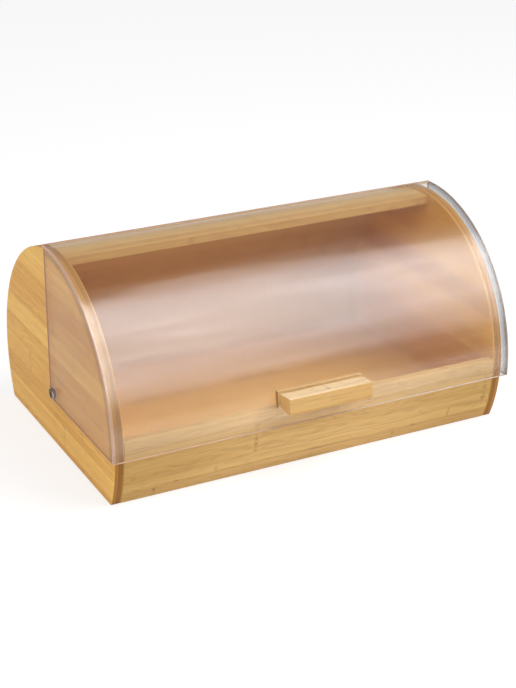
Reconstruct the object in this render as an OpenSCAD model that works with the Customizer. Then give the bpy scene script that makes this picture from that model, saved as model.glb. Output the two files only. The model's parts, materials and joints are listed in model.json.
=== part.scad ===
// Bread box of bamboo boards with a swinging hood lid of frosted acrylic.
// Millimetres, +Z up, +X to the right, the front faces -Y.
// The origin lies on the underside, at mid width, straight below the lid's pivot axis.

/* [Case] */
// Width over the two side panels
case_w = 390; // [300:5:480]
// Radius of the round side panels, about the pivot axis
case_r = 133; // [115:1:150]
// Height of the pivot axis above the table
pivot_h = 55; // [45:1:65]
// Thickness of a side panel
panel_t = 9; // [8.5:0.5:14]
// Rounding of a side panel's outer rim
rim_round = 1.2; // [0.5:0.1:3]

/* [Bottom board] */
// Thickness of the bottom board
bottom_t = 10; // [9:0.5:14]

/* [Front board] */
// Height of the front board
front_h = 64; // [45:1:75]
// Least thickness of the front board, at its top and bottom edges
front_t = 8; // [8:0.5:14]

/* [Back shell] */
// Thickness of the bent back shell
shell_t = 8; // [5:0.5:12]
// How far the shell's front edge reaches before the pivot axis
shell_reach = 10; // [0:1:30]
// Depth of the grooves in the side panels that hold the shell
groove_d = 4; // [2:0.5:5]
// Glue gap round the shell in its grooves
groove_gap = 0.1; // [0.05:0.05:0.3]

/* [Lid] */
// Gap between the side panels' rim and the lid's curved sheet
rim_gap = 4; // [2.5:0.5:8]
// Thickness of the curved sheet
sheet_t = 2.5; // [2:0.5:4]
// Distance of the sheet's rear edge behind the pivot axis
sheet_back = 10; // [10:1:40]
// Thickness of a cheek, the lid's flat end
cheek_t = 2.5; // [2:0.5:4]
// Gap between a side panel and the cheek beside it
cheek_gap = 1; // [1:0.1:3]
// Rounding of a cheek's corner about its pivot hole
cheek_round = 7; // [6:0.5:14]
// Glue gap between the sheet and the pieces fixed to it
glue_gap = 0.05; // [0.02:0.01:0.15]

/* [Handle] */
// Length of the handle bar
grip_l = 82; // [65:1:140]
// Height of the handle bar at its front
grip_h = 15.5; // [10:0.5:24]
// How far the handle bar stands out from the sheet
grip_d = 18; // [14:1:26]
// Bevel along the handle bar's long edges
grip_bevel = 0.8; // [0.5:0.1:2.5]
// How far the bar's front lip hangs below its back, to pull on
grip_lip = 2.8; // [0:0.1:4]
// How far the bar sits below the middle of the backing strip
grip_drop = 1.6; // [0:0.1:2]
// Length of the backing strip inside the lid
strip_l = 84; // [65:1:140]
// Height of the backing strip
strip_h = 16; // [12:1:26]
// Thickness of the backing strip
strip_t = 5; // [4:0.5:8]
// Gap left above the front board, which the backing strip comes to rest on
stop_gap = 0.2; // [0.1:0.05:0.5]
// Gap in which the backing strip passes over the back shell
pass_gap = 1; // [0.6:0.1:3]

/* [Pivots] */
// Diameter of a pivot screw's smooth shoulder
shoulder_d = 6; // [5:0.5:8]
// Radial running gap of a cheek on the shoulder
shoulder_gap = 0.05; // [0.02:0.01:0.1]
// Diameter of a pivot screw's head
pivot_head_d = 10; // [9:0.5:14]
// Thickness of a pivot screw's head
pivot_head_t = 2.2; // [1.5:0.1:4]
// Side play of a cheek under the head
side_play = 0.2; // [0.1:0.05:0.5]
// Diameter of a pivot screw's thread
pivot_thread_d = 4; // [3:0.5:4.5]
// Width of the hexagon socket in a pivot screw's head
socket_w = 3; // [2:0.5:4]
// Depth of that socket
socket_depth = 1.2; // [0.8:0.1:1.4]
// Outer diameter of the brass insert
insert_d = 7; // [6:0.5:10]
// Length of the brass insert
insert_l = 7.5; // [5:0.5:8]
// Outer diameter of the spacing washer
washer_d = 12; // [9:0.5:13]
// Thickness of the spacing washer
washer_t = 0.8; // [0.4:0.1:0.9]

/* [Dowels and screws] */
// Diameter of the dowels
dowel_d = 6; // [4:0.5:6]
// Length of the dowels
dowel_l = 24; // [18:1:40]
// How deep a dowel sits in the thinner of its two boards
dowel_bite = 6; // [4:0.5:6.5]
// Distance of the front board's dowels from its top and bottom edges
front_dowel_inset = 15; // [8:1:18]
// Distance of the bottom board's outer dowels from its middle
bottom_dowel_pitch = 80; // [40:1:90]
// Distance of the front seam's outer dowels from its middle
seam_dowel_pitch = 130; // [60:1:135]
// Diameter of a handle screw's shank
screw_d = 3.5; // [3:0.5:4]
// Diameter of a handle screw's head
screw_head_d = 7; // [6:0.5:8]
// Length of a handle screw
screw_l = 19; // [17:0.5:21]
// Distance between the two handle screws
screw_pitch = 50; // [30:1:56]
// Radial gap of dowels, inserts, threads and screws in their holes
hole_gap = 0.05; // [0.02:0.01:0.1]

/* [Hidden] */
$fn = 96;

// Colours of the finished surfaces
bamboo_color = [0.83, 0.66, 0.40];
bamboo_edge_color = [0.72, 0.55, 0.32];
dowel_color = [0.86, 0.76, 0.56];
acrylic_color = [0.93, 0.92, 0.91, 0.5];
steel_color = [0.70, 0.71, 0.73];
brass_color = [0.78, 0.64, 0.33];
nylon_color = [0.94, 0.94, 0.92];

// A little more than a cut needs, so that it breaks through its surface
cut = 1;

// Width between the side panels, and over the two cheeks
inner_w = case_w - 2 * panel_t;
lid_w = case_w + 2 * (cheek_gap + cheek_t);

// Radii of the lid's sheet
sheet_in_r = case_r + rim_gap;
sheet_out_r = sheet_in_r + sheet_t;
// Height of the lid's lower edge
lid_low = pivot_h - cheek_round;

// Distances of the backing strip's two faces from the pivot axis: its outer edges meet the sheet
strip_out_r = sqrt(sheet_in_r ^ 2 - (strip_h / 2) ^ 2) - glue_gap;
strip_in_r = strip_out_r - strip_t;
// The handle's angle above the pivot axis, at which the strip's lower inner corner is on its stop
grip_a = atan2(strip_h / 2, strip_in_r)
    + asin((front_h + stop_gap - pivot_h) / norm([strip_in_r, strip_h / 2]));

// Radii of the back shell: the backing strip clears it as the lid opens
shell_out_r = strip_in_r - pass_gap;
shell_in_r = shell_out_r - shell_t;

// The front board leans out with the panels' rim, and its flat inner face is parallel to the lean
function rim_y(z, r) = sqrt(r ^ 2 - (z - pivot_h) ^ 2);
front_foot_y = -rim_y(0, case_r);
front_top_y = -rim_y(front_h, case_r);
front_depth = front_t * norm([front_h, front_top_y - front_foot_y]) / front_h;
function front_inner_y(z) = front_foot_y + front_depth + (front_top_y - front_foot_y) * z / front_h;
function front_middle_y(z) = (front_inner_y(z) - rim_y(z, case_r)) / 2;

// Places of the pivot screw's parts along X, from the panel's outer face
head_x = cheek_gap + cheek_t + side_play;

// Depth of the countersink that takes a handle screw's head
sink = (screw_head_d - screw_d) / 2;
// Hole in the lid's sheet for a handle screw
sheet_hole_d = screw_d + 1;
// How far a handle screw's hole reaches into the handle bar
grip_hole = screw_l + strip_in_r - sheet_out_r + cut;

// Extrudes a profile, drawn in Y and Z, along X by w, centred
module across(w) {
    translate([-w / 2, 0, 0])
        rotate([90, 0, 90])
            linear_extrude(w)
                children();
}

// A disc about the pivot axis, drawn in Y and Z
module disc(r) {
    translate([0, pivot_h])
        circle(r);
}

// A piece turned about the Z axis is laid along X, with its foot at x, y and z
module along_x(x, y, z) {
    translate([x, y, z])
        rotate([0, 90, 0])
            children();
}

// The handle's own frame: -Y is square to the sheet, outwards, and Z runs up along it
module at_grip() {
    translate([0, 0, pivot_h])
        rotate([-grip_a, 0, 0])
            children();
}

// The handle screws' axes, starting at the strip's inner face and pointing out
module at_screws() {
    at_grip()
        for (x = [-screw_pitch / 2, screw_pitch / 2])
            translate([x, -strip_in_r, 0])
                rotate([90, 0, 0])
                    children();
}

// Profile of the back shell with a gap all round
module shell_profile(gap) {
    intersection() {
        difference() {
            disc(shell_out_r + gap);
            disc(shell_in_r - gap);
        }
        translate([-shell_reach - gap, bottom_t - gap])
            square([case_r + shell_reach, pivot_h + case_r]);
    }
}

// Dowels between a board and one side panel, at [y, z]
module end_dowels(places, r) {
    for (p = places)
        along_x(inner_w / 2 + dowel_bite - dowel_l, p[0], p[1])
            cylinder(h = dowel_l, r = r);
}

front_dowel_places = [for (z = [front_dowel_inset, front_h - front_dowel_inset]) [front_middle_y(z), z]];
bottom_dowel_places = [for (i = [-1:1]) [i * bottom_dowel_pitch, bottom_t / 2]];

// Dowels between the front board and the bottom board
module seam_dowels(r) {
    for (i = [-1:1])
        translate([i * seam_dowel_pitch, front_inner_y(bottom_t / 2) - dowel_bite, bottom_t / 2])
            rotate([-90, 0, 0])
                cylinder(h = dowel_l, r = r);
}

// Profile of a round panel, from its axis to its rim, with the outer rim rounded
module panel_section() {
    square([case_r - rim_round, panel_t]);
    square([case_r, panel_t - rim_round]);
    translate([case_r - rim_round, panel_t - rim_round])
        circle(rim_round);
}

// The right side panel: a round board cut flat below, with the shell's groove and its holes
module side_panel() {
    color(bamboo_color)
        difference() {
            along_x(inner_w / 2, 0, pivot_h)
                rotate_extrude()
                    panel_section();
            translate([inner_w / 2 - cut, -case_r - cut, -case_r])
                cube([panel_t + 2 * cut, 2 * (case_r + cut), case_r]);
            across(inner_w + 2 * groove_d)
                shell_profile(groove_gap);
            end_dowels(front_dowel_places, dowel_d / 2 + hole_gap);
            end_dowels(bottom_dowel_places, dowel_d / 2 + hole_gap);
            along_x(case_w / 2 - insert_l - hole_gap, 0, pivot_h)
                cylinder(h = insert_l + cut, r = insert_d / 2 + hole_gap);
        }
}

module side_panel_right() {
    side_panel();
}

module side_panel_left() {
    mirror([1, 0, 0])
        side_panel();
}

module bottom_board() {
    color(bamboo_color)
        difference() {
            across(inner_w)
                intersection() {
                    disc(shell_out_r);
                    polygon([[front_inner_y(0), 0], [case_r, 0], [case_r, bottom_t],
                        [front_inner_y(bottom_t), bottom_t]]);
                }
            end_dowels(bottom_dowel_places, dowel_d / 2 + hole_gap);
            mirror([1, 0, 0])
                end_dowels(bottom_dowel_places, dowel_d / 2 + hole_gap);
            seam_dowels(dowel_d / 2 + hole_gap);
        }
}

module front_board() {
    color(bamboo_color)
        difference() {
            across(inner_w)
                intersection() {
                    disc(case_r);
                    polygon([[front_inner_y(0), 0], [front_inner_y(front_h), front_h],
                        [-case_r - cut, front_h], [-case_r - cut, 0]]);
                }
            end_dowels(front_dowel_places, dowel_d / 2 + hole_gap);
            mirror([1, 0, 0])
                end_dowels(front_dowel_places, dowel_d / 2 + hole_gap);
            seam_dowels(dowel_d / 2 + hole_gap);
        }
}

// The bent shell that is roof and back in one, let into both side panels
module back_shell() {
    color(bamboo_edge_color)
        across(inner_w + 2 * (groove_d - groove_gap))
            shell_profile(0);
}

module front_board_dowels() {
    color(dowel_color)
        for (side = [0, 1])
            mirror([side, 0, 0])
                end_dowels(front_dowel_places, dowel_d / 2);
}

module bottom_board_dowels() {
    color(dowel_color)
        for (side = [0, 1])
            mirror([side, 0, 0])
                end_dowels(bottom_dowel_places, dowel_d / 2);
}

module front_seam_dowels() {
    color(dowel_color)
        seam_dowels(dowel_d / 2);
}

// Threaded brass sleeve, flush with the panel's outer face
module pivot_insert() {
    color(brass_color)
        along_x(case_w / 2 - insert_l, 0, pivot_h)
            difference() {
                cylinder(h = insert_l, r = insert_d / 2);
                translate([0, 0, -cut])
                    cylinder(h = insert_l + 2 * cut, r = pivot_thread_d / 2 + hole_gap);
            }
}

module pivot_insert_right() {
    pivot_insert();
}

module pivot_insert_left() {
    mirror([1, 0, 0])
        pivot_insert();
}

// Washer that keeps the cheek off the side panel
module pivot_washer() {
    color(nylon_color)
        along_x(case_w / 2, 0, pivot_h)
            difference() {
                cylinder(h = washer_t, r = washer_d / 2);
                translate([0, 0, -cut])
                    cylinder(h = washer_t + 2 * cut, r = shoulder_d / 2 + shoulder_gap);
            }
}

module pivot_washer_right() {
    pivot_washer();
}

module pivot_washer_left() {
    mirror([1, 0, 0])
        pivot_washer();
}

// Shoulder screw: thread in the insert, smooth shoulder in the cheek, low round head outside
module pivot_screw() {
    head_edge = pivot_head_t / 2;
    color(steel_color)
        along_x(case_w / 2, 0, pivot_h)
            difference() {
                rotate_extrude()
                    union() {
                        translate([0, -insert_l])
                            square([pivot_thread_d / 2, insert_l]);
                        square([shoulder_d / 2, head_x]);
                        translate([0, head_x])
                            square([pivot_head_d / 2, pivot_head_t - head_edge]);
                        translate([0, head_x])
                            square([pivot_head_d / 2 - head_edge, pivot_head_t]);
                        translate([pivot_head_d / 2 - head_edge, head_x + pivot_head_t - head_edge])
                            circle(head_edge);
                    }
                translate([0, 0, head_x + pivot_head_t - socket_depth])
                    cylinder(h = socket_depth + cut, d = socket_w / cos(30), $fn = 6);
            }
}

module pivot_screw_right() {
    pivot_screw();
}

module pivot_screw_left() {
    mirror([1, 0, 0])
        pivot_screw();
}

// The part of the Y-Z plane that the lid covers, up to back behind the pivot axis
module lid_reach(back) {
    translate([-sheet_out_r - cut, lid_low])
        square([sheet_out_r + cut, sheet_out_r + cheek_round + cut]);
    translate([-cut, pivot_h])
        square([back + cut, sheet_out_r + cut]);
}

// Bent acrylic sheet, the front and top of the hood
module lid_sheet() {
    color(acrylic_color)
        difference() {
            across(lid_w)
                intersection() {
                    difference() {
                        disc(sheet_out_r);
                        disc(sheet_in_r);
                    }
                    lid_reach(sheet_back);
                }
            at_screws()
                cylinder(h = sheet_out_r, r = sheet_hole_d / 2);
        }
}

// Flat acrylic end of the hood, glued under the sheet's edge and turning on the pivot screw
module lid_cheek() {
    color(acrylic_color)
        translate([case_w / 2 + cheek_gap, 0, 0])
            rotate([90, 0, 90])
                linear_extrude(cheek_t)
                    difference() {
                        intersection() {
                            disc(sheet_in_r - glue_gap);
                            union() {
                                lid_reach(cheek_round);
                                disc(cheek_round);
                            }
                        }
                        disc(shoulder_d / 2 + shoulder_gap);
                    }
}

module lid_cheek_right() {
    lid_cheek();
}

module lid_cheek_left() {
    mirror([1, 0, 0])
        lid_cheek();
}

// Bar with bevelled long edges and an underside that slopes down to a lip, screwed on from inside
module handle_bar() {
    near = sheet_out_r + glue_gap;
    far = near + grip_d;
    top = grip_h / 2 - grip_drop;
    lip = top - grip_h;
    color(bamboo_color)
        difference() {
            at_grip()
                across(grip_l)
                    polygon([[-near, lip + grip_lip], [-near, top],
                        [-far + grip_bevel, top], [-far, top - grip_bevel],
                        [-far, lip + grip_bevel], [-far + grip_bevel, lip]]);
            at_screws()
                cylinder(h = grip_hole + sheet_out_r - strip_in_r, r = screw_d / 2 + hole_gap);
        }
}

// Strip inside the sheet: it carries the screws' heads and is the lid's stop on the front board
module handle_backing_strip() {
    color(bamboo_color)
        difference() {
            at_grip()
                translate([-strip_l / 2, -strip_out_r, -strip_h / 2])
                    cube([strip_l, strip_t, strip_h]);
            at_screws() {
                translate([0, 0, -cut])
                    cylinder(h = strip_t + 2 * cut, r = screw_d / 2 + hole_gap);
                cylinder(h = sink, r1 = screw_head_d / 2 + hole_gap, r2 = screw_d / 2 + hole_gap);
            }
        }
}

// Countersunk screws with a cross recess, heads flush with the strip's inner face
module handle_screws() {
    tip = screw_d / 2;
    recess_l = screw_head_d / 2;
    recess_w = 0.8;
    recess_depth = 1.2;
    color(steel_color)
        at_screws()
            difference() {
                union() {
                    cylinder(h = sink, r1 = screw_head_d / 2, r2 = screw_d / 2);
                    cylinder(h = screw_l - tip, r = screw_d / 2);
                    translate([0, 0, screw_l - tip])
                        cylinder(h = tip, r1 = screw_d / 2, r2 = screw_d / 8);
                }
                for (turn = [0, 90])
                    rotate([0, 0, turn])
                        translate([-recess_l / 2, -recess_w / 2, -cut])
                            cube([recess_l, recess_w, recess_depth + cut]);
            }
}

side_panel_left();
side_panel_right();
bottom_board();
front_board();
back_shell();
front_board_dowels();
bottom_board_dowels();
front_seam_dowels();
pivot_insert_left();
pivot_insert_right();
pivot_washer_left();
pivot_washer_right();
pivot_screw_left();
pivot_screw_right();
lid_sheet();
lid_cheek_left();
lid_cheek_right();
handle_bar();
handle_backing_strip();
handle_screws();
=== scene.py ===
import json
import math

import bmesh
import bpy
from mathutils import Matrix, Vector


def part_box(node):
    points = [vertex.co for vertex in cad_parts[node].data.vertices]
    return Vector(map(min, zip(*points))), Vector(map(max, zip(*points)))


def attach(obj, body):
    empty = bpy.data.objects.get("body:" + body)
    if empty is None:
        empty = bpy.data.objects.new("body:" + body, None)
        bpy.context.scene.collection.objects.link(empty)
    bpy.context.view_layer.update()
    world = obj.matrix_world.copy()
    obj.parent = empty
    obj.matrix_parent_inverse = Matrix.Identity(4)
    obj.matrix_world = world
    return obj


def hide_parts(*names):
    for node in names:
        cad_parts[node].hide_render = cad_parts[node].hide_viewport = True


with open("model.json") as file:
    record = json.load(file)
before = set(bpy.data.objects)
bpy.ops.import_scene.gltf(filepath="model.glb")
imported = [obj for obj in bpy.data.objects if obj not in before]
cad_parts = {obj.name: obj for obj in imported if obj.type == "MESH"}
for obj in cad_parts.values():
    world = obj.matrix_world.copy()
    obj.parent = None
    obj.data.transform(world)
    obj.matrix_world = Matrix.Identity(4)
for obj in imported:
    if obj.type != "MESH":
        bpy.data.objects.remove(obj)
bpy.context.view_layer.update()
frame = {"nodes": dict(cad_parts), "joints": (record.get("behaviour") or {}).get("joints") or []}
mm = 0.001
pivot = frame["joints"][0]["pos_m"][2]


# ---- Side panels ----
# Two round boards, cut flat below, pressed from two plies of bamboo strips with the grain front to back.
# They are sawn on one template, sanded, eased along the rim and clear oiled.

panel_low, panel_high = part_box("side_panel_right")
panel_r = panel_high.y
panel_ease = 1.0 * mm
grain_y = (1, 2, 0)  # along, across and through the strips, as numbers of the X, Y and Z axes
grain_x = (0, 2, 1)


def tone(red, green, blue):
    """A colour as the eye reads it, from 0 to 255, as the light that a surface sends back."""
    parts = [c / 255 for c in (red, green, blue)]
    return tuple(c / 12.92 if c <= 0.04045 else ((c + 0.055) / 1.055) ** 2.4 for c in parts) + (1,)


def arc(r, start, end, step=1.5):
    """Points in Y and Z on a circle about the pivot, by degrees up from the front."""
    count = max(2, math.ceil(abs(end - start) / step))
    turns = [math.radians(start + (end - start) * i / count) for i in range(count + 1)]
    return [(-r * math.cos(a), pivot + r * math.sin(a)) for a in turns]


def lift_at(r, z):
    """Degrees up from the front at which a circle of radius r about the pivot has height z."""
    return math.degrees(math.asin((z - pivot) / r))


def eased_board(name, outline, x0, x1, ease, hole=(), sawn=lambda face: False):
    """A board along X with an outline in Y and Z, a hole if it has one, and rounded edges.

    The faces that sawn picks count as eased, as the rounded edges do."""
    bm = bmesh.new()
    eased = bm.faces.layers.float.new("eased")
    for loop in [outline, hole] if hole else [outline]:
        ends = [[bm.verts.new((x, y, z)) for y, z in loop] for x in (x0, x1)]
        for i in range(len(loop)):
            j = (i + 1) % len(loop)
            bm.faces.new((ends[0][i], ends[0][j], ends[1][j], ends[1][i]))
        if not hole:
            bm.faces.new(ends[0])
            bm.faces.new(ends[1])
    if hole:
        for x in (x0, x1):
            rim = [e for e in bm.edges if all(abs(v.co.x - x) < 1e-7 for v in e.verts)]
            bmesh.ops.triangle_fill(bm, edges=rim, use_beauty=True)
    bmesh.ops.recalc_face_normals(bm, faces=bm.faces)
    for face in bm.faces:
        face[eased] = sawn(face)
    sharp = [e for e in bm.edges if e.calc_face_angle(0) > math.radians(30)]
    rounded = bmesh.ops.bevel(bm, geom=sharp, offset=ease, segments=3, profile=0.5, affect="EDGES")
    for face in bm.faces:
        face.smooth = True
    for face in rounded["faces"]:
        face[eased] = 1
    mesh = bpy.data.meshes.new(name)
    bm.to_mesh(mesh)
    bm.free()
    piece = bpy.data.objects.new(name, mesh)
    bpy.context.scene.collection.objects.link(piece)
    piece.modifiers.new("even normals", "WEIGHTED_NORMAL").keep_sharp = True
    return piece


def node(tree, kind, inputs=(), **settings):
    """A shader node with its settings, whose inputs are given as values or as sockets to link."""
    made = tree.nodes.new("ShaderNode" + kind)
    for name, value in settings.items():
        setattr(made, name, value)
    for slot, value in dict(inputs).items():
        if isinstance(value, bpy.types.NodeSocket):
            tree.links.new(value, made.inputs[slot])
        else:
            made.inputs[slot].default_value = value
    return made


def sums(tree, operation, a, b=0.0, c=0.0):
    """The result of one step of arithmetic."""
    return node(tree, "Math", {0: a, 1: b, 2: c}, operation=operation).outputs[0]


def blend_of(tree, share, a, b, kind="MIX"):
    """Colour a, which turns to colour b, or is multiplied by it, as far as share says."""
    return node(tree, "Mix", {0: share, 6: a, 7: b}, data_type="RGBA", blend_type=kind).outputs[2]


def ramp(tree, value, low, high):
    """A smooth change from 0 at low to 1 at high, where low may be the greater of the two."""
    return node(tree, "MapRange", {0: value, 1: low, 2: high, 3: 0.0, 4: 1.0},
                interpolation_type="SMOOTHSTEP").outputs[0]


def off_middle(tree, value):
    """How far a value from 0 to 1 is from its middle, to either side."""
    return sums(tree, "ABSOLUTE", sums(tree, "SUBTRACT", value, 0.5))


def nudged(tree, value, noise, reach):
    """A value that a noise from 0 to 1 moves up or down, by up to half of reach."""
    return sums(tree, "MULTIPLY_ADD", sums(tree, "SUBTRACT", noise, 0.5), reach, value)


def noise_at(tree, place, scale, detail, roughness=0.5):
    """A cloudy noise from 0 to 1 over a place, which is given as a vector socket."""
    return node(tree, "TexNoise", {"Vector": place, "Scale": scale, "Detail": detail,
                                   "Roughness": roughness}).outputs[0]


def shader_group(name, inputs, outputs):
    """An empty node group with named inputs and outputs, and its two end nodes."""
    group = bpy.data.node_groups.new(name, "ShaderNodeTree")
    for sockets, way in ((inputs, "INPUT"), (outputs, "OUTPUT")):
        for label, kind in sockets.items():
            group.interface.new_socket(label, in_out=way, socket_type="NodeSocket" + kind)
    return group, group.nodes.new("NodeGroupInput").outputs, group.nodes.new("NodeGroupOutput").inputs


def new_material(name):
    """A material, its node tree and the shader in it that gives the finish."""
    material = bpy.data.materials.new(name)
    material.use_nodes = True
    return material, material.node_tree, material.node_tree.nodes["Principled BSDF"]


def bamboo_strips():
    """Bamboo strips glued side by side: each has its own tone, fibres, a few knuckles and a glue line."""
    group, given, out = shader_group(
        "bamboo strips",
        {"Along": "Float", "Across": "Float", "Through": "Float", "End": "Float", "Eased": "Float",
         "Inner Ply Shade": "Float", "Glue Line": "Float", "Waver": "Float", "Strip Width": "Float",
         "Ply": "Float", "Knuckle Spacing": "Float", "Pick": "Float", "Contrast": "Float",
         "Pale": "Color", "Deep": "Color", "Knuckle": "Color", "End Tone": "Color"},
        {"Color": "Color", "Roughness": "Float", "Height": "Float"})
    along, across, through = given["Along"], given["Across"], given["Through"]

    # The strips waver a little, and those of each ply are shifted against the next.
    ply_shift = 0.37
    drift = node(group, "TexNoise", {"W": sums(group, "MULTIPLY_ADD", along, 9.0, given["Pick"]),
                                     "Scale": 1.0, "Detail": 1.0}, noise_dimensions="1D").outputs[0]
    shifted = nudged(group, across, drift, given["Waver"])
    ply = sums(group, "FLOOR", sums(group, "DIVIDE", through, given["Ply"]))
    cell = sums(group, "MULTIPLY_ADD", ply, ply_shift, sums(group, "DIVIDE", shifted, given["Strip Width"]))
    strip = sums(group, "FLOOR", cell)
    place = node(group, "CombineXYZ", {0: strip, 1: ply, 2: given["Pick"]}).outputs[0]
    own = node(group, "TexWhiteNoise", {"Vector": place}, noise_dimensions="3D")
    chance = node(group, "SeparateColor", {0: own.outputs["Color"]}).outputs

    def fibres(stretch, fine, detail, rough):
        """Streaks that run along the strips and start at a place of their own in each."""
        slide = sums(group, "MULTIPLY_ADD", chance[1], 7.0, sums(group, "MULTIPLY", along, stretch))
        where = node(group, "CombineXYZ", {0: slide, 1: sums(group, "MULTIPLY", shifted, fine),
                                           2: sums(group, "MULTIPLY", through, fine)}).outputs[0]
        return noise_at(group, where, 1.0, detail, rough)

    broad = fibres(5.0, 130.0, 3.0, 0.55)
    fine = fibres(16.0, 900.0, 3.0, 0.6)
    dashes = ramp(group, fibres(42.0, 900.0, 1.0, 0.4), 0.6, 0.7)

    # A knuckle is a short ragged band across a strip, evenly spaced along it from a chance start.
    turn = sums(group, "ADD", sums(group, "DIVIDE", along, given["Knuckle Spacing"]), chance[2])
    away = sums(group, "MULTIPLY", off_middle(group, sums(group, "FRACT", turn)), given["Knuckle Spacing"])
    ragged = sums(group, "MULTIPLY_ADD", broad, 9 * mm, sums(group, "MULTIPLY_ADD", fine, 4 * mm, -6.5 * mm))
    away = sums(group, "ABSOLUTE", sums(group, "ADD", away, ragged))
    near_knuckle = sums(group, "SUBTRACT", 1.0, ramp(group, away, 0.4 * mm, 2.6 * mm))
    knuckle = sums(group, "MULTIPLY", near_knuckle, ramp(group, fine, 0.42, 0.62))
    seam = ramp(group, off_middle(group, sums(group, "FRACT", cell)), 0.485, 0.498)

    # Each strip has its own shade, with streaks in it, and darker marks on top.
    mid_shade = 0.45
    shade = nudged(group, mid_shade, own.outputs["Value"], 0.9)
    shade = nudged(group, shade, broad, 1.3)
    shade = nudged(group, shade, fine, 0.75)
    from_mid = sums(group, "SUBTRACT", shade, mid_shade)
    shade = sums(group, "MULTIPLY_ADD", from_mid, given["Contrast"], mid_shade)
    wood = blend_of(group, node(group, "Clamp", {0: shade}).outputs[0], given["Pale"], given["Deep"])
    figure = sums(group, "MULTIPLY", shifted, 160.0)
    figure = sums(group, "MULTIPLY_ADD", fibres(11.0, 55.0, 2.0, 0.5), 9.0, figure)
    line = ramp(group, off_middle(group, sums(group, "FRACT", figure)), 0.3, 0.5)
    line_strength = sums(group, "MULTIPLY", chance[0], 0.22)
    for mark, strength in ((line, line_strength), (dashes, 0.18), (knuckle, 0.6), (seam, 0.35)):
        wood = blend_of(group, sums(group, "MULTIPLY", mark, strength), wood, given["Knuckle"])

    # Cut ends show pores, and the inner ply, the glue line and the eased edges have tones of their own. The
    # inner ply's darker tone also stands for painted shade where it is the inside face of a side panel.
    drawn_out = sums(group, "MULTIPLY", along, 60.0)
    pore_place = node(group, "CombineXYZ", {0: drawn_out, 1: across, 2: through}).outputs[0]
    pores = noise_at(group, pore_place, 900.0, 2.0)
    end_shade = nudged(group, sums(group, "MULTIPLY_ADD", own.outputs["Value"], 0.5, 0.1), pores, 0.8)
    cut_end = blend_of(group, end_shade, given["End Tone"],
                       blend_of(group, 0.45, given["End Tone"], given["Knuckle"]))
    wood = blend_of(group, given["End"], wood, cut_end)
    inner_ply_shade = sums(group, "MULTIPLY", given["Inner Ply Shade"], 0.75)
    inner_ply_shade_tint = (0.73, 0.62, 0.46, 1)
    wood = blend_of(group, inner_ply_shade, wood, inner_ply_shade_tint, kind="MULTIPLY")
    wood = blend_of(group, sums(group, "MULTIPLY", given["Glue Line"], 0.7), wood, given["Knuckle"])
    wood = blend_of(group, sums(group, "MULTIPLY", given["Eased"], 0.22), wood, given["Pale"])
    group.links.new(wood, out["Color"])

    rough = sums(group, "MULTIPLY_ADD", fine, 0.22, sums(group, "MULTIPLY_ADD", given["End"], 0.12, 0.36))
    group.links.new(sums(group, "MULTIPLY_ADD", given["Eased"], -0.06, rough), out["Roughness"])
    relief = sums(group, "MULTIPLY_ADD", fine, 0.6, sums(group, "MULTIPLY", broad, 0.5))
    sunk = sums(group, "MULTIPLY_ADD", seam, 0.5, sums(group, "MULTIPLY", dashes, 0.3))
    relief = sums(group, "SUBTRACT", relief, sunk)
    group.links.new(sums(group, "MULTIPLY_ADD", knuckle, -0.4, relief), out["Height"])
    return group


strips = bamboo_strips()
knuckle_brown = tone(140, 92, 44)
end_brown = tone(178, 128, 62)


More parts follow.
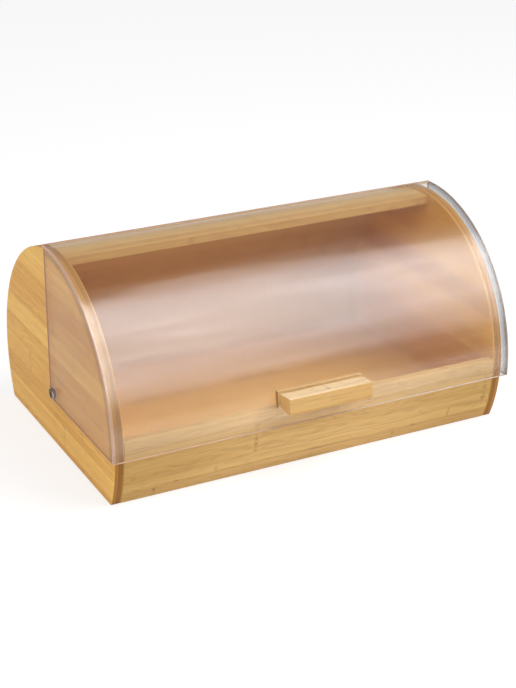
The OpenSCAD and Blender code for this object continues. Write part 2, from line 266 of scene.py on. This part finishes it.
def bamboo(name, grain, strip_width, ply, pick, pale, deep, end_tone=end_brown, contrast=1.0,
           knuckle_spacing=0.24, waver=2.4 * mm, glued_at=None, painted_face_shade=None, darker_ends=None):
    """Oiled bamboo whose strips run along the first axis of grain. Each pick is another lot of strips.

    With glued_at, the board has two plies that meet that far out from the box's middle: the inner one is
    darker, and on a side panel's inside face this tone is also painted shade of the box's inside.
    The rim is sawn all round and painted lighter towards its top, painted light for the lid's haze over it.
    A tint for the broad faces paints shade on them, and a tint for the ends darkens the board towards both
    ends."""
    material, tree, shader = new_material(name)
    spot = node(tree, "TexCoord").outputs
    place = node(tree, "SeparateXYZ", {0: spot["Object"]}).outputs
    facing = node(tree, "SeparateXYZ", {0: spot["Normal"]}).outputs
    broad_face = sums(tree, "ABSOLUTE", facing[grain[2]])
    wood = node(tree, "Group", {
        "Along": place[grain[0]], "Across": place[grain[1]], "Through": place[grain[2]],
        "Eased": node(tree, "Attribute", attribute_name="eased").outputs["Fac"],
        "Strip Width": strip_width, "Ply": ply, "Knuckle Spacing": knuckle_spacing, "Waver": waver,
        "Pick": pick, "Contrast": contrast, "Pale": pale, "Deep": deep, "Knuckle": knuckle_brown,
        "End Tone": end_tone,
    }, node_tree=strips)
    colour = wood.outputs["Color"]
    if glued_at:
        end = ramp(tree, broad_face, 0.5, 0.2)
        depth = sums(tree, "SUBTRACT", sums(tree, "ABSOLUTE", place[grain[2]]), glued_at)
        # The inner ply is darker: on the rim in a tone of its own, on a side panel's inside face also as
        # painted shade of the box's inside.
        inner = sums(tree, "MULTIPLY", ramp(tree, depth, 0.2 * mm, -0.2 * mm),
                     sums(tree, "MULTIPLY_ADD", end, 0.1, 0.9))
        tree.links.new(inner, wood.inputs["Inner Ply Shade"])
        glue_line = ramp(tree, sums(tree, "ABSOLUTE", depth), 0.8 * mm, 0.2 * mm)
        tree.links.new(glue_line, wood.inputs["Glue Line"])
        # Painted light: the sawn rim is made lighter and whiter towards its top, for the lid's milky haze
        # over it.
        painted_rim_light = sums(tree, "MULTIPLY", end, ramp(tree, place[2], 40 * mm, 150 * mm))
        painted_rim_light_tint = (1.28, 1.36, 1.4, 1)
        colour = blend_of(tree, painted_rim_light, colour, painted_rim_light_tint, kind="MULTIPLY")
    else:
        end = ramp(tree, sums(tree, "ABSOLUTE", facing[grain[0]]), 0.72, 0.86)
    tree.links.new(end, wood.inputs["End"])
    # Painted shade: this tint darkens the broad faces, so that the handle bar's front is darker than its top,
    # as under light from above.
    if painted_face_shade:
        colour = blend_of(tree, ramp(tree, broad_face, 0.5, 0.85), colour, painted_face_shade, kind="MULTIPLY")
    # Darker towards both ends of the board.
    if darker_ends:
        outwards = ramp(tree, sums(tree, "ABSOLUTE", place[grain[0]]), 40 * mm, 180 * mm)
        colour = blend_of(tree, outwards, colour, darker_ends, kind="MULTIPLY")
    tree.links.new(colour, shader.inputs["Base Color"])
    tree.links.new(wood.outputs["Roughness"], shader.inputs["Roughness"])
    bump = node(tree, "Bump", {"Height": wood.outputs["Height"], "Strength": 0.35, "Distance": 0.25 * mm})
    tree.links.new(bump.outputs[0], shader.inputs["Normal"])
    shader.inputs["Specular IOR Level"].default_value = 0.25
    return material


def coat(piece, material):
    """Gives a piece one material all over."""
    piece.data.materials.clear()
    piece.data.materials.append(material)


def dress(piece, material, body, slot, *nodes):
    """Gives a new piece its material and body, and lets it stand for its CAD nodes."""
    coat(piece, material)
    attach(piece, body)
    if nodes:
        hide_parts(*nodes)


panel_wood = bamboo("bamboo side panel", grain_y, strip_width=21 * mm, ply=4.5 * mm, pick=3.0,
                    pale=tone(246, 196, 98), deep=tone(222, 160, 62),
                    glued_at=(panel_low.x + panel_high.x) / 2)
foot = lift_at(panel_r, 0)
panel_outline = arc(panel_r, foot, 180 - foot)
for side, x0, x1 in (("left", -panel_high.x, -panel_low.x), ("right", panel_low.x, panel_high.x)):
    panel = eased_board("round_side_panel_" + side, panel_outline, x0, x1, panel_ease)
    dress(panel, panel_wood, "box", "bamboo", "side_panel_" + side)


# ---- Bottom board ----
# A flat board of bamboo strips between the side panels, doweled to them and to the front board.
# It shows from below and through the open lid.

bottom_low, bottom_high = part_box("bottom_board")
front_low, front_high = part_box("front_board")
board_ease = 0.6 * mm
bottom_ease = 0.3 * mm
bottom_wood = bamboo("bamboo bottom board", grain_x, strip_width=24 * mm, ply=5 * mm, pick=11.0,
                     pale=tone(252, 212, 142), deep=tone(238, 188, 108))
front_lean = math.sqrt(panel_r ** 2 - pivot ** 2) - math.sqrt(panel_r ** 2 - (front_high.z - pivot) ** 2)


def front_inner_y(z):
    """Where the front board's flat inner face is, which leans out towards its top."""
    return front_high.y + front_lean * z / front_high.z


shell_low, shell_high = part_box("back_shell")
shell_r = shell_high.z - pivot
bottom_outline = [(front_inner_y(bottom_high.z), bottom_high.z), (front_inner_y(0), 0)]
bottom_outline += [(-y, z) for y, z in arc(shell_r, lift_at(shell_r, 0), lift_at(shell_r, bottom_high.z))]
bottom = eased_board("bottom_board_of_strips", bottom_outline, bottom_low.x, bottom_high.x, bottom_ease)
dress(bottom, bottom_wood, "box", "bamboo", "bottom_board")


# ---- Front board ----
# A low bamboo board between the side panels, doweled to them and to the bottom board. Its face is
# planed to the panels' round, and its grain runs across.

front_wood = bamboo("bamboo front board", grain_x, strip_width=31 * mm, ply=14 * mm, pick=6.0,
                    pale=tone(247, 208, 140), deep=tone(211, 166, 101),
                    contrast=0.8, waver=9 * mm, darker_ends=(0.83, 0.8, 0.68, 1))
front_outline = arc(panel_r, lift_at(panel_r, 0), lift_at(panel_r, front_high.z))
front_outline += [(front_inner_y(front_high.z), front_high.z), (front_inner_y(0), 0)]
front = eased_board("curved_front_board", front_outline, front_low.x, front_high.x, board_ease)
dress(front, front_wood, "box", "bamboo", "front_board")


# ---- Back shell ----
# Thin bamboo with its grain across, bent to one sheet that is roof and back. It is let into a groove
# in both side panels and ends on the bottom board.

shell_t = 8 * mm
shell_front = -shell_low.y
shell_wood = bamboo("bent bamboo shell", grain_x, strip_width=22 * mm, ply=60 * mm, pick=19.0,
                    pale=tone(222, 179, 110), deep=tone(196, 147, 78))


def over_the_back(r):
    """The shell's arc at radius r, from its front edge over the top and down to the bottom board."""
    start = 90 - math.degrees(math.asin(shell_front / r))
    return arc(r, start, 180 - lift_at(r, bottom_high.z))


shell_outline = over_the_back(shell_r) + over_the_back(shell_r - shell_t)[::-1]
shell = eased_board("bent_back_shell", shell_outline, shell_low.x, shell_high.x, board_ease)
dress(shell, shell_wood, "box", "bamboo", "back_shell")


# ---- Dowels ----
# Turned bamboo rods that pin the side panels, the front board and the bottom board together. They are
# hidden once the boards are glued.

dowel_wood = bamboo("dowel rod", grain_x, strip_width=3 * mm, ply=3 * mm, pick=2.0,
                    pale=tone(232, 212, 172), deep=tone(212, 186, 140))
for name in ("front_board_dowels", "bottom_board_dowels", "front_seam_dowels"):
    coat(frame["nodes"][name], dowel_wood)


# ---- Pivots ----
# Turned screws with a smooth shoulder carry the lid. Each goes through a thin nylon washer
# into a brass insert in the side panel.


def metal(name, colour, rough, face=None):
    """Turned metal with fine marks and small changes of gloss. Faces across X can take a painted tone of
    their own.
    """
    material, tree, shader = new_material(name)
    spot = node(tree, "TexCoord").outputs
    marks = noise_at(tree, spot["Object"], 2600.0, 3.0)
    cloud = noise_at(tree, spot["Object"], 260.0, 2.0)
    worn = tuple(c * 0.72 for c in colour[:3]) + (1,)
    finish = blend_of(tree, ramp(tree, cloud, 0.45, 0.75), colour, worn)
    if face:
        across = sums(tree, "ABSOLUTE", node(tree, "SeparateXYZ", {0: spot["Normal"]}).outputs[0])
        finish = blend_of(tree, ramp(tree, across, 0.6, 0.9), finish, face)
    tree.links.new(finish, shader.inputs["Base Color"])
    tree.links.new(sums(tree, "MULTIPLY_ADD", marks, 0.2, rough), shader.inputs["Roughness"])
    bump = node(tree, "Bump", {"Height": marks, "Strength": 0.2, "Distance": 0.03 * mm})
    tree.links.new(bump.outputs[0], shader.inputs["Normal"])
    shader.inputs["Metallic"].default_value = 1.0
    return material


steel = metal("nickel plated steel", tone(196, 198, 202), rough=0.2)
# Painted shade: the pivot heads' faces across X are painted dark brown, for the shade at the pivots.
shade_faced_steel = metal("pivot steel with painted shade", tone(196, 192, 188), rough=0.24, face=tone(64, 48, 30))
brass = metal("turned brass", tone(206, 172, 96), rough=0.22)
nylon, nylon_tree, nylon_shader = new_material("natural nylon")
mottle = node(nylon_tree, "TexNoise", {"Scale": 900.0, "Detail": 2.0}).outputs[0]
nylon_tone = blend_of(nylon_tree, mottle, tone(236, 226, 214), tone(224, 212, 198))
nylon_tree.links.new(nylon_tone, nylon_shader.inputs["Base Color"])
nylon_tree.links.new(sums(nylon_tree, "MULTIPLY_ADD", mottle, 0.2, 0.4), nylon_shader.inputs["Roughness"])
for side in ("left", "right"):
    for name, finish in (("pivot_screw_", shade_faced_steel), ("pivot_insert_", brass), ("pivot_washer_", nylon)):
        coat(frame["nodes"][name + side], finish)


# ---- Lid ----
# One sheet of acrylic, frosted to a satin skin, bent over a round former, with a flat cheek glued
# under each end. The sawn edges are polished, so they catch the light.

sheet_low, sheet_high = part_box("lid_sheet")
cheek_low, cheek_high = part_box("lid_cheek_right")
sheet_r = sheet_high.z - pivot
sheet_t = 2.5 * mm
acrylic_ease = 0.35 * mm


def satin_skin():
    """The frosting, with draw lines across the sheet, and rubbed smoother towards the top.

    At the lid's ends and round the cheeks' rims it is tinted a cool dark grey, painted shade for the grey
    that these parts show. The sheet's rear edge is painted with the tone of the wood that is under it, which
    shows through it there."""
    group, given, out = shader_group(
        "satin skin",
        {"Place": "Vector", "Frosting": "Float", "Streak": "Float",
         "Shaded Ends": "Float", "Shaded Rim": "Float"},
        {"Color": "Color", "Roughness": "Float", "Streaks": "Float", "Height": "Float"})
    hazy, clear, painted_shade_grey = (0.92, 0.915, 0.92, 1), (0.99, 0.985, 0.98, 1), (0.3, 0.32, 0.36, 1)
    wood_tone = (0.76, 0.56, 0.38, 1)
    stretch = (6.0, 110.0, 110.0)  # the lines run along X
    drawn = node(group, "VectorMath", {0: given["Place"], 1: stretch}, operation="MULTIPLY").outputs[0]
    lines = noise_at(group, drawn, 1.0, 2.5, 0.55)
    cloudy = blend_of(group, lines, hazy, clear)
    spot = node(group, "SeparateXYZ", {0: given["Place"]}).outputs
    shift = 4 * mm  # brings the painted grey further in at the right end, and further out at the left
    from_middle = sums(group, "ABSOLUTE", sums(group, "ADD", spot[0], shift))
    lid_end = ramp(group, from_middle, 193 * mm, 197 * mm)
    upright = sums(group, "SUBTRACT", spot[2], pivot)
    from_pivot = node(group, "CombineXYZ", {1: spot[1], 2: upright}).outputs[0]
    from_pivot = node(group, "VectorMath", {0: from_pivot}, operation="LENGTH").outputs["Value"]
    rim = ramp(group, from_pivot, 129 * mm, 132 * mm)  # begins 8 mm in from a cheek's rim
    # Painted shade: the lid's ends and the cheeks' rims are tinted a cool dark grey.
    cool = sums(group, "MULTIPLY", lid_end, given["Shaded Ends"])
    cool = sums(group, "MULTIPLY_ADD", rim, given["Shaded Rim"], cool)
    cooled = blend_of(group, cool, cloudy, painted_shade_grey)
    # Painted look: the rear edge is tinted with the tone of the wood that shows through it.
    rear_edge = sums(group, "MULTIPLY", ramp(group, spot[1], 1 * mm, 4 * mm),
                     ramp(group, from_pivot, 134 * mm, 136 * mm))
    group.links.new(blend_of(group, rear_edge, cooled, wood_tone), out["Color"])
    rubbed = sums(group, "MULTIPLY_ADD", ramp(group, spot[2], 160 * mm, 184 * mm), -0.4, 1.0)
    rough = sums(group, "MULTIPLY_ADD", lines, 0.06, given["Frosting"])
    group.links.new(sums(group, "MULTIPLY", rough, rubbed), out["Roughness"])
    group.links.new(sums(group, "MULTIPLY", ramp(group, lines, 0.45, 0.75), given["Streak"]), out["Streaks"])
    group.links.new(lines, out["Height"])
    return group


satin = satin_skin()


def acrylic(name, frosting, ior, clarity, streak, shaded_ends, shaded_rim, passing_light):
    """Frosted acrylic, which lamps and diffuse light pass, so the inside is lit as by the real sheet."""
    material, tree, shader = new_material(name)
    skin = node(tree, "Group", {
        "Place": node(tree, "TexCoord").outputs["Object"], "Frosting": frosting, "Streak": streak,
        "Shaded Ends": shaded_ends, "Shaded Rim": shaded_rim,
    }, node_tree=satin).outputs
    tree.links.new(skin["Color"], shader.inputs["Base Color"])
    tree.links.new(skin["Roughness"], shader.inputs["Roughness"])
    tree.links.new(skin["Streaks"], shader.inputs["Coat Weight"])
    bump = node(tree, "Bump", {"Height": skin["Height"], "Strength": 0.25, "Distance": 0.3 * mm})
    tree.links.new(bump.outputs[0], shader.inputs["Normal"])
    shader.inputs["IOR"].default_value = ior
    shader.inputs["Transmission Weight"].default_value = clarity
    shader.inputs["Coat Roughness"].default_value = 0.15
    path = node(tree, "LightPath").outputs
    passing = sums(tree, "MAXIMUM", path["Is Shadow Ray"], path["Is Diffuse Ray"])
    clear = node(tree, "BsdfTransparent", {0: passing_light}).outputs[0]
    both = node(tree, "MixShader", {0: passing, 1: shader.outputs[0], 2: clear}).outputs[0]
    tree.links.new(both, tree.nodes["Material Output"].inputs["Surface"])
    return material


frosted = acrylic("frosted acrylic", frosting=0.15, ior=1.3, clarity=0.99, streak=0.16,
                  shaded_ends=0.48, shaded_rim=0.0, passing_light=(0.99, 0.99, 0.99, 1))
frosted_cheek = acrylic("frosted acrylic cheek", frosting=0.22, ior=1.1, clarity=1.0, streak=0.0,
                        shaded_ends=0.12, shaded_rim=0.42, passing_light=(0.93, 0.87, 0.86, 1))

# The edges are painted warm in tone at the left, for the wood that shows through them there, and neutral at
# the right.
polished_edge, rim_tree, rim_shader = new_material("polished acrylic edge")
rim_spot = node(rim_tree, "TexCoord").outputs["Object"]
scratches = noise_at(rim_tree, rim_spot, 700.0, 3.0)
rim_x = node(rim_tree, "SeparateXYZ", {0: rim_spot}).outputs[0]
towards_right = ramp(rim_tree, rim_x, -160 * mm, 180 * mm)
warm_rim = blend_of(rim_tree, scratches, tone(208, 168, 142), tone(192, 152, 126))
neutral_rim = blend_of(rim_tree, scratches, tone(208, 192, 182), tone(192, 177, 168))
rim_tree.links.new(blend_of(rim_tree, towards_right, warm_rim, neutral_rim), rim_shader.inputs["Base Color"])
rim_tree.links.new(sums(rim_tree, "MULTIPLY_ADD", scratches, 0.2, 0.3), rim_shader.inputs["Roughness"])


def polish(piece):
    """Gives the sawn and rounded edges of an acrylic piece their polished finish."""
    piece.data.materials.append(polished_edge)
    eased = piece.data.attributes["eased"].data
    for face in piece.data.polygons:
        face.material_index = int(eased[face.index].value > 0.5)


def over_the_front(r):
    """The sheet's arc at radius r, from its lower edge up and over to its rear edge."""
    end = 90 + math.degrees(math.asin(sheet_high.y / r))
    return arc(r, lift_at(r, sheet_low.z), end, 1.0)


def thin_edge(face):
    """Whether a face of the sheet is on one of its four thin edges."""
    middle = face.calc_center_median()
    out = Vector((0, middle.y, middle.z - pivot)).normalized()
    return abs(face.normal.dot(out)) < 0.5


def cheek_edge(face):
    """Whether a face of a cheek is on its thin edge."""
    return abs(face.normal.x) < 0.5


sheet_outline = over_the_front(sheet_r) + over_the_front(sheet_r - sheet_t)[::-1]
sheet = eased_board("frosted_lid_sheet", sheet_outline, sheet_low.x, sheet_high.x, acrylic_ease,
                    sawn=thin_edge)
dress(sheet, frosted, "lid", "frosted_acrylic", "lid_sheet")
polish(sheet)

cheek_r = cheek_high.z - pivot
corner_r = cheek_high.y
cheek_outline = arc(cheek_r, lift_at(cheek_r, cheek_low.z), 90 + math.degrees(math.asin(corner_r / cheek_r)))
cheek_outline += arc(corner_r, 180, 270, 6)
shoulder_hole_r = 3.05 * mm
shoulder_hole = arc(shoulder_hole_r, 0, 352.5, 7.5)
for side, x0, x1 in (("left", -cheek_high.x, -cheek_low.x), ("right", cheek_low.x, cheek_high.x)):
    cheek = eased_board("frosted_lid_cheek_" + side, cheek_outline, x0, x1, acrylic_ease,
                        hole=shoulder_hole, sawn=cheek_edge)
    dress(cheek, frosted_cheek, "lid", "frosted_acrylic", "lid_cheek_" + side)
    polish(cheek)


# ---- Handle ----
# A short bamboo bar outside the sheet, whose underside slopes down to a lip, and a thin strip
# inside it. Two countersunk screws go from the strip through the sheet into the bar.

handle_lift = math.radians(7.47)  # at which the strip's lower edge is just over the front board's top
glue_gap = 0.05 * mm
grip_l, grip_h, grip_d = 82 * mm, 15.5 * mm, 18 * mm
grip_bevel, grip_lip, grip_drop = 0.8 * mm, 2.8 * mm, 1.6 * mm
strip_l, strip_h, strip_t = 84 * mm, 16 * mm, 5 * mm
grip_near = sheet_r + glue_gap  # out from the pivot axis, as strip_near is
strip_near = 131.716 * mm
handle_ease = 0.4 * mm
no_knuckle = 5.0  # metres from knuckle to knuckle, so that none comes on the bar
# The bar's front and back faces take painted shade, so that its top stays lighter.
handle_wood = bamboo("bamboo handle", grain_x, strip_width=7.45 * mm, ply=30 * mm, pick=4.0,
                     pale=tone(250, 224, 182), deep=tone(236, 200, 146), end_tone=tone(232, 188, 122),
                     knuckle_spacing=no_knuckle, painted_face_shade=(0.79, 0.64, 0.4, 1))
backing_wood = bamboo("bamboo backing strip", grain_x, strip_width=12 * mm, ply=30 * mm, pick=8.0,
                      pale=tone(246, 208, 150), deep=tone(228, 184, 120))


def tilted(points):
    """Points given as distance out from the pivot axis and height, turned up to the handle's angle."""
    c, s = math.cos(handle_lift), math.sin(handle_lift)
    return [(-(out * c - up * s), pivot + out * s + up * c) for out, up in points]


top, outer = grip_h / 2 - grip_drop, grip_near + grip_d
lip = top - grip_h
bar_outline = tilted([(grip_near, lip + grip_lip), (grip_near, top), (outer - grip_bevel, top),
                      (outer, top - grip_bevel), (outer, lip + grip_bevel), (outer - grip_bevel, lip)])
bar = eased_board("handle_grip_bar", bar_outline, -grip_l / 2, grip_l / 2, handle_ease)
dress(bar, handle_wood, "lid", "bamboo", "handle_bar")
half, strip_far = strip_h / 2, strip_near + strip_t
strip_outline = tilted([(strip_near, -half), (strip_near, half), (strip_far, half), (strip_far, -half)])
backing = eased_board("handle_backing_slat", strip_outline, -strip_l / 2, strip_l / 2, handle_ease)
dress(backing, backing_wood, "lid", "bamboo", "handle_backing_strip")
coat(frame["nodes"]["handle_screws"], steel)


# ---- Floor and light ----
# A white sweep under the box, a large soft lamp above the front, and a softer one at the left. The
# sheen lamp and the white card only show as reflections in the lid's sheet.

sweep_half = 4
sweep_corners = [(x * sweep_half, y * sweep_half, 0) for x, y in ((-1, -1), (1, -1), (1, 1), (-1, 1))]
floor_mesh = bpy.data.meshes.new("floor")
floor_mesh.from_pydata(sweep_corners, [], [(0, 1, 2, 3)])
floor = bpy.data.objects.new("floor", floor_mesh)
bpy.context.scene.collection.objects.link(floor)
floor.location.z = -0.2 * mm


def looked_at(tree):
    """1 for the camera's rays, also by a reflection or through the acrylic, and 0 for light on the object."""
    path = node(tree, "LightPath").outputs
    straight_or_mirrored = sums(tree, "MAXIMUM", path["Is Camera Ray"], path["Is Glossy Ray"])
    return sums(tree, "MAXIMUM", straight_or_mirrored, path["Is Transmission Ray"])


white, sweep = new_material("white sweep")[:2]
paper = node(sweep, "BsdfDiffuse", {"Color": (0.86, 0.86, 0.86, 1)}).outputs[0]
seen_paper = node(sweep, "BsdfDiffuse", {"Color": (0.4, 0.4, 0.4, 1)}).outputs[0]
glow = node(sweep, "Emission", {"Color": (1, 1, 1, 1), "Strength": 0.7}).outputs[0]
seen = node(sweep, "AddShader", {0: seen_paper, 1: glow}).outputs[0]
sweep.links.new(node(sweep, "MixShader", {0: looked_at(sweep), 1: paper, 2: seen}).outputs[0],
                sweep.nodes["Material Output"].inputs["Surface"])
floor_mesh.materials.append(white)

world = bpy.data.worlds.new("studio")
bpy.context.scene.world = world
world.use_nodes = True
sky = world.node_tree
room_light = 0.5
height = node(sky, "SeparateXYZ", {0: node(sky, "TexCoord").outputs["Generated"]}).outputs[2]
ceiling = sums(sky, "MULTIPLY_ADD", ramp(sky, height, 0.0, 0.14), -0.72, 1.0)
seen_room = sums(sky, "MULTIPLY", looked_at(sky), sums(sky, "SUBTRACT", ceiling, room_light))
sky.links.new(sums(sky, "ADD", seen_room, room_light), sky.nodes["Background"].inputs["Strength"])
sky.nodes["Background"].inputs["Color"].default_value = (1, 1, 1, 1)

lid_middle = Vector((0, -0.1, 0.15))


def soft_lamp(name, place, width, height, radiance):
    """A soft lamp that faces the lid, as bright all over as radiance says, where 1 is white."""
    data = bpy.data.lights.new(name, "AREA")
    data.shape = "RECTANGLE"
    data.size, data.size_y = width, height
    data.energy = radiance * math.pi * width * height
    lamp = bpy.data.objects.new(name, data)
    lamp.location = place
    lamp.rotation_euler = (lid_middle - Vector(place)).to_track_quat("-Z", "Y").to_euler()
    bpy.context.scene.collection.objects.link(lamp)
    return lamp


soft_lamp("lamp above the front", (0.65, -0.63, 1.24), width=0.95, height=1.4, radiance=3.4)
soft_lamp("lamp at the left", (-1.7, -0.7, 0.9), width=1.3, height=1.3, radiance=1.9)

# The sheen lamp is turned square to the lid and then moved to the right. It fades towards its upper and
# lower ends, and from one side to the other.
sheen = soft_lamp("sheen lamp", (0, -0.953, 1.131), width=1.7, height=2.26, radiance=12.0)
sheen.location.x = 0.75
sheen.data.use_nodes = True
softbox = sheen.data.node_tree
on_the_box = node(softbox, "SeparateXYZ", {0: node(softbox, "TexCoord").outputs["UV"]}).outputs
low_end = sums(softbox, "MULTIPLY_ADD", ramp(softbox, on_the_box[1], -0.02, 0.28), 0.5, 0.5)
fading = sums(softbox, "MULTIPLY", low_end, ramp(softbox, on_the_box[1], 1.06, 0.74))
fading = sums(softbox, "MULTIPLY", fading, sums(softbox, "MULTIPLY_ADD", on_the_box[0], -0.74, 1.19))
softbox.links.new(fading, softbox.nodes["Emission"].inputs["Strength"])
card = soft_lamp("white card in front", (0.1, -0.38, 0.01), width=0.9, height=0.3, radiance=3.0)
card.rotation_euler = (math.pi, 0, 0)  # lies on the table and faces up
lid_only = bpy.data.collections.new("lid sheen")
lid_only.objects.link(sheet)
for lamp in (sheen, card):
    lamp.visible_diffuse = False
    lamp.visible_transmission = False
    lamp.light_linking.receiver_collection = lid_only


# ---- Camera ----
# It stands where the photograph was taken from, left of the front and a little above. Its place and
# its focal length in millimetres follow the object's straight edges and circles in the photograph.

lens = bpy.data.cameras.new("camera")
lens.sensor_width = 36
lens.lens = 85.794
camera = bpy.data.objects.new("camera", lens)
bpy.context.scene.collection.objects.link(camera)
bpy.context.scene.camera = camera
camera.location = (-0.64778, -1.26142, 0.69513)
camera.rotation_euler = [math.radians(turn) for turn in (65.999, -0.317, -27.352)]
bpy.context.scene.view_settings.view_transform = "Standard"
